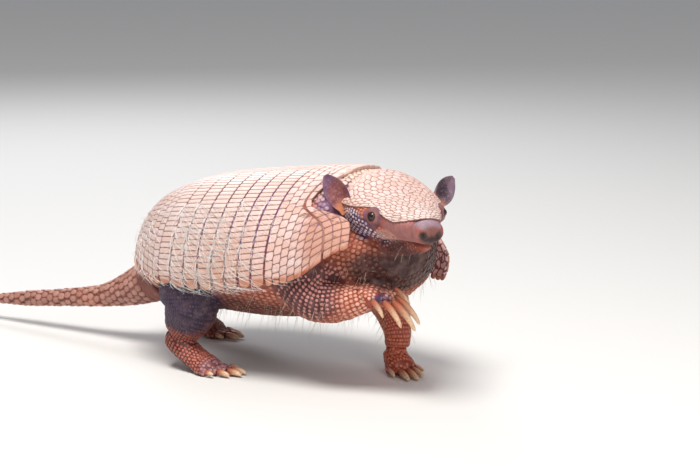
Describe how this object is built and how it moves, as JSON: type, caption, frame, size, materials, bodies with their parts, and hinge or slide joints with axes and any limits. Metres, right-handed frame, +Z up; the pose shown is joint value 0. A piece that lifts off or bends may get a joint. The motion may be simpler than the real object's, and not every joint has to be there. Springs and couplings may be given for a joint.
{
  "type": "armadillo",
  "caption": "Life-size six-banded armadillo walking with one forefoot lifted and its head turned aside: pale plated shell over terracotta skin, long claws and a ringed tail",
  "frame": {"origin": "on the floor, at the middle of the whole animal's bounding box", "axes": "+X towards the head, +Y towards the animal's left side, +Z up"},
  "size_m": [0.5322, 0.1728, 0.1872],
  "materials": {
    "shell": "satin horn plates, straw-coloured, warmer towards the rim",
    "skin": "dry, wrinkled, scaly terracotta skin, violet in the folds",
    "claw": "smooth horn, cream to amber",
    "eye": "wet black"
  },
  "bodies": {
    "root": {"pelvic_shield": "shell", "shoulder_shield": "shell", "nape_band": "shell", "band_1": "shell", "band_2": "shell", "band_3": "shell", "band_4": "shell", "band_5": "shell", "band_6": "shell", "band_7": "shell", "band_8": "shell", "trunk": "skin", "tail_root": "skin", "tail_middle": "skin", "tail_tip": "skin", "head_shield": "shell", "eye_right": "eye", "eye_left": "eye", "head": "skin", "jaw": "skin", "ear_right": "skin", "ear_left": "skin", "neck": "skin", "fore_right_leg": "skin", "fore_right_foot": "skin", "fore_right_claw_1": "claw", "fore_right_claw_2": "claw", "fore_right_claw_3": "claw", "fore_right_claw_4": "claw", "fore_right_claw_5": "claw", "fore_left_leg": "skin", "fore_left_foot": "skin", "fore_left_claw_1": "claw", "fore_left_claw_2": "claw", "fore_left_claw_3": "claw", "fore_left_claw_4": "claw", "fore_left_claw_5": "claw", "hind_right_leg": "skin", "hind_right_foot": "skin", "hind_right_claw_1": "claw", "hind_right_claw_2": "claw", "hind_right_claw_3": "claw", "hind_right_claw_4": "claw", "hind_right_claw_5": "claw", "hind_left_leg": "skin", "hind_left_foot": "skin", "hind_left_claw_1": "claw", "hind_left_claw_2": "claw", "hind_left_claw_3": "claw", "hind_left_claw_4": "claw", "hind_left_claw_5": "claw"}
  },
  "joints": []
}
